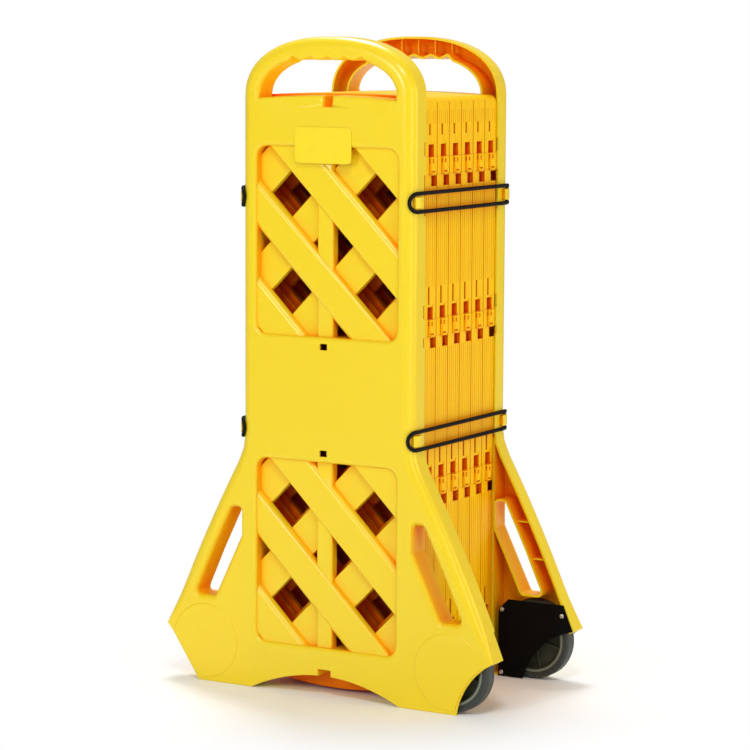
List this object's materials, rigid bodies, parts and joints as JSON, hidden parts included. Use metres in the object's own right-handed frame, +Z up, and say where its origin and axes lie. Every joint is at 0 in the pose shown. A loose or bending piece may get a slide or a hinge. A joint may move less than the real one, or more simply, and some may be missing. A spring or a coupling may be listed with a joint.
{
  "type": "expandable safety barrier",
  "caption": "Folding safety barrier: two end panels with handles, legs and a wheel each, joined by a stack of hinged lattice panels, held shut by elastic loops.",
  "frame": {"origin": "on the floor, under the middle of the folded barrier", "axes": "+Z up, +X towards the wheels, -Y out of the front end panel's face; the barrier unfolds along +Y"},
  "size_m": [0.578, 0.317, 1],
  "materials": {
    "shell": "glossy moulded yellow",
    "panel": "moulded yellow, a little duller than the ends",
    "plate": "glossy, blank",
    "cord": "braided black elastic",
    "tyre": "satin dark grey",
    "hub": "black moulded",
    "cover": "black moulded plate",
    "steel": "bright zinc"
  },
  "bodies": {
    "front_end": {"shell_front": "shell", "wheel_cover_front": "cover", "axle_front": "steel", "outer_washer_front": "steel", "inner_washer_front": "steel", "name_plate_front": "plate", "cover_screw_1_front": "steel", "cover_screw_2_front": "steel", "cover_screw_3_front": "steel", "elastic_loop_upper_right": "cord", "elastic_loop_upper_left": "cord", "elastic_loop_lower_right": "cord", "elastic_loop_lower_left": "cord"},
    "panel_01": {"inner_panel_01": "panel"},
    "panel_02": {"inner_panel_02": "panel"},
    "panel_03": {"inner_panel_03": "panel"},
    "panel_04": {"inner_panel_04": "panel"},
    "panel_05": {"inner_panel_05": "panel"},
    "panel_06": {"inner_panel_06": "panel"},
    "panel_07": {"inner_panel_07": "panel"},
    "panel_08": {"inner_panel_08": "panel"},
    "panel_09": {"inner_panel_09": "panel"},
    "panel_10": {"inner_panel_10": "panel"},
    "panel_11": {"inner_panel_11": "panel"},
    "panel_12": {"inner_panel_12": "panel"},
    "rear_end": {"shell_rear": "shell", "wheel_cover_rear": "cover", "axle_rear": "steel", "outer_washer_rear": "steel", "inner_washer_rear": "steel", "name_plate_rear": "plate", "cover_screw_1_rear": "steel", "cover_screw_2_rear": "steel", "cover_screw_3_rear": "steel"},
    "wheel_front": {"wheel_tyre_front": "tyre", "wheel_hub_front": "hub"},
    "wheel_rear": {"wheel_tyre_rear": "tyre", "wheel_hub_rear": "hub"}
  },
  "joints": [
    {"name": "fold_01", "type": "hinge", "parent": "front_end", "child": "panel_01", "pos_m": [-0.147, -0.1128, 0.45], "axis": [0, 0, 1], "range_deg": [0, 75]},
    {"name": "unfold", "type": "hinge", "parent": "panel_01", "child": "panel_02", "pos_m": [0.147, -0.094, 0.45], "axis": [0, 0, -1], "range_deg": [0, 150], "deforming": ["elastic_loop_upper_right", "elastic_loop_upper_left", "elastic_loop_lower_right", "elastic_loop_lower_left"]},
    {"name": "fold_03", "type": "hinge", "parent": "panel_02", "child": "panel_03", "pos_m": [-0.147, -0.0752, 0.45], "axis": [0, 0, 1], "range_deg": [0, 150]},
    {"name": "fold_04", "type": "hinge", "parent": "panel_03", "child": "panel_04", "pos_m": [0.147, -0.0564, 0.45], "axis": [0, 0, -1], "range_deg": [0, 150]},
    {"name": "fold_05", "type": "hinge", "parent": "panel_04", "child": "panel_05", "pos_m": [-0.147, -0.0376, 0.45], "axis": [0, 0, 1], "range_deg": [0, 150]},
    {"name": "fold_06", "type": "hinge", "parent": "panel_05", "child": "panel_06", "pos_m": [0.147, -0.0188, 0.45], "axis": [0, 0, -1], "range_deg": [0, 150]},
    {"name": "fold_07", "type": "hinge", "parent": "panel_06", "child": "panel_07", "pos_m": [-0.147, 0, 0.45], "axis": [0, 0, 1], "range_deg": [0, 150]},
    {"name": "fold_08", "type": "hinge", "parent": "panel_07", "child": "panel_08", "pos_m": [0.147, 0.0188, 0.45], "axis": [0, 0, -1], "range_deg": [0, 150]},
    {"name": "fold_09", "type": "hinge", "parent": "panel_08", "child": "panel_09", "pos_m": [-0.147, 0.0376, 0.45], "axis": [0, 0, 1], "range_deg": [0, 150]},
    {"name": "fold_10", "type": "hinge", "parent": "panel_09", "child": "panel_10", "pos_m": [0.147, 0.0564, 0.45], "axis": [0, 0, -1], "range_deg": [0, 150]},
    {"name": "fold_11", "type": "hinge", "parent": "panel_10", "child": "panel_11", "pos_m": [-0.147, 0.0752, 0.45], "axis": [0, 0, 1], "range_deg": [0, 150]},
    {"name": "fold_12", "type": "hinge", "parent": "panel_11", "child": "panel_12", "pos_m": [0.147, 0.094, 0.45], "axis": [0, 0, -1], "range_deg": [0, 150]},
    {"name": "fold_13", "type": "hinge", "parent": "panel_12", "child": "rear_end", "pos_m": [-0.147, 0.1128, 0.45], "axis": [0, 0, 1], "range_deg": [0, 75]},
    {"name": "wheel_front_spin", "type": "hinge", "parent": "front_end", "child": "wheel_front", "pos_m": [0.216, -0.1332, 0.064], "axis": [0, 1, 0], "continuous": true},
    {"name": "wheel_rear_spin", "type": "hinge", "parent": "rear_end", "child": "wheel_rear", "pos_m": [0.216, 0.1332, 0.064], "axis": [0, 1, 0], "continuous": true}
  ],
  "couplings": [
    {"joint": "fold_01", "follows": "unfold", "ratio": 0.5},
    {"joint": "fold_03", "follows": "unfold", "ratio": 1},
    {"joint": "fold_04", "follows": "unfold", "ratio": 1},
    {"joint": "fold_05", "follows": "unfold", "ratio": 1},
    {"joint": "fold_06", "follows": "unfold", "ratio": 1},
    {"joint": "fold_07", "follows": "unfold", "ratio": 1},
    {"joint": "fold_08", "follows": "unfold", "ratio": 1},
    {"joint": "fold_09", "follows": "unfold", "ratio": 1},
    {"joint": "fold_10", "follows": "unfold", "ratio": 1},
    {"joint": "fold_11", "follows": "unfold", "ratio": 1},
    {"joint": "fold_12", "follows": "unfold", "ratio": 1},
    {"joint": "fold_13", "follows": "unfold", "ratio": 0.5}
  ]
}
